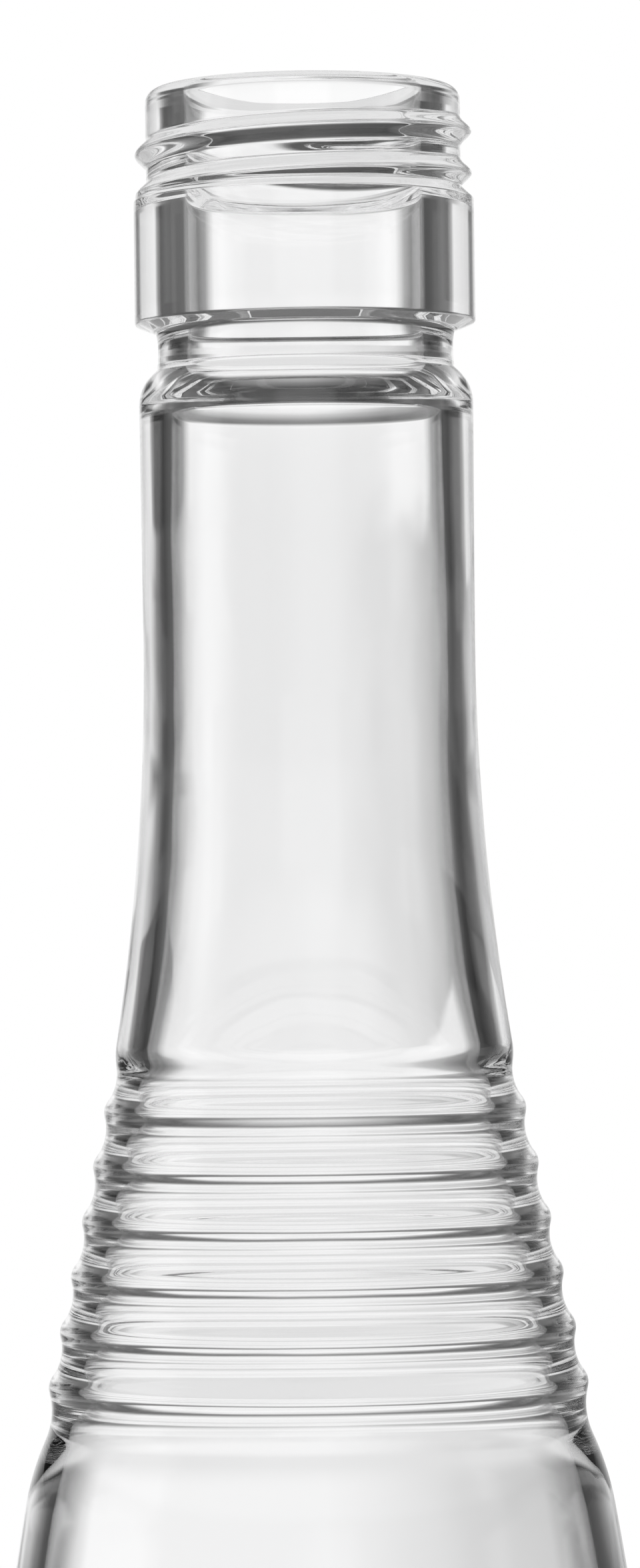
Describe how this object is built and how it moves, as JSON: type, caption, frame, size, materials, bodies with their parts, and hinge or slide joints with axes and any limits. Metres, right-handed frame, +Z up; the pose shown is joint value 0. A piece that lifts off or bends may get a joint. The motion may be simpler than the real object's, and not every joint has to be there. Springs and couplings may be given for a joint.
{
  "type": "glass soda bottle",
  "caption": "Clear glass screw-top soda bottle with a tall collar, slim neck and ringed shoulder, and its loose rolled metal cap with a sealing liner set down in front.",
  "frame": {"origin": "on the bottle's axis, in the plane that the base ring stands on", "axes": "+Z up along the bottle's axis towards the mouth, -Y towards the camera and the loose cap, +X to the right"},
  "size_m": [0.0574, 0.0932, 0.24],
  "materials": {
    "clear_glass": "clear colourless flint glass, fire-polished",
    "cap_metal": "rolled sheet aluminium, satin, clear lacquered",
    "liner": "soft moulded sealing compound"
  },
  "bodies": {
    "bottle": {"glass_bottle": "clear_glass"},
    "cap": {"cap_shell": "cap_metal", "cap_liner": "liner"}
  },
  "joints": [
    {"name": "cap_lift", "type": "slide", "parent": "bottle", "child": "cap", "axis": [0, 0, 1], "range_m": [0, 0.2]}
  ]
}
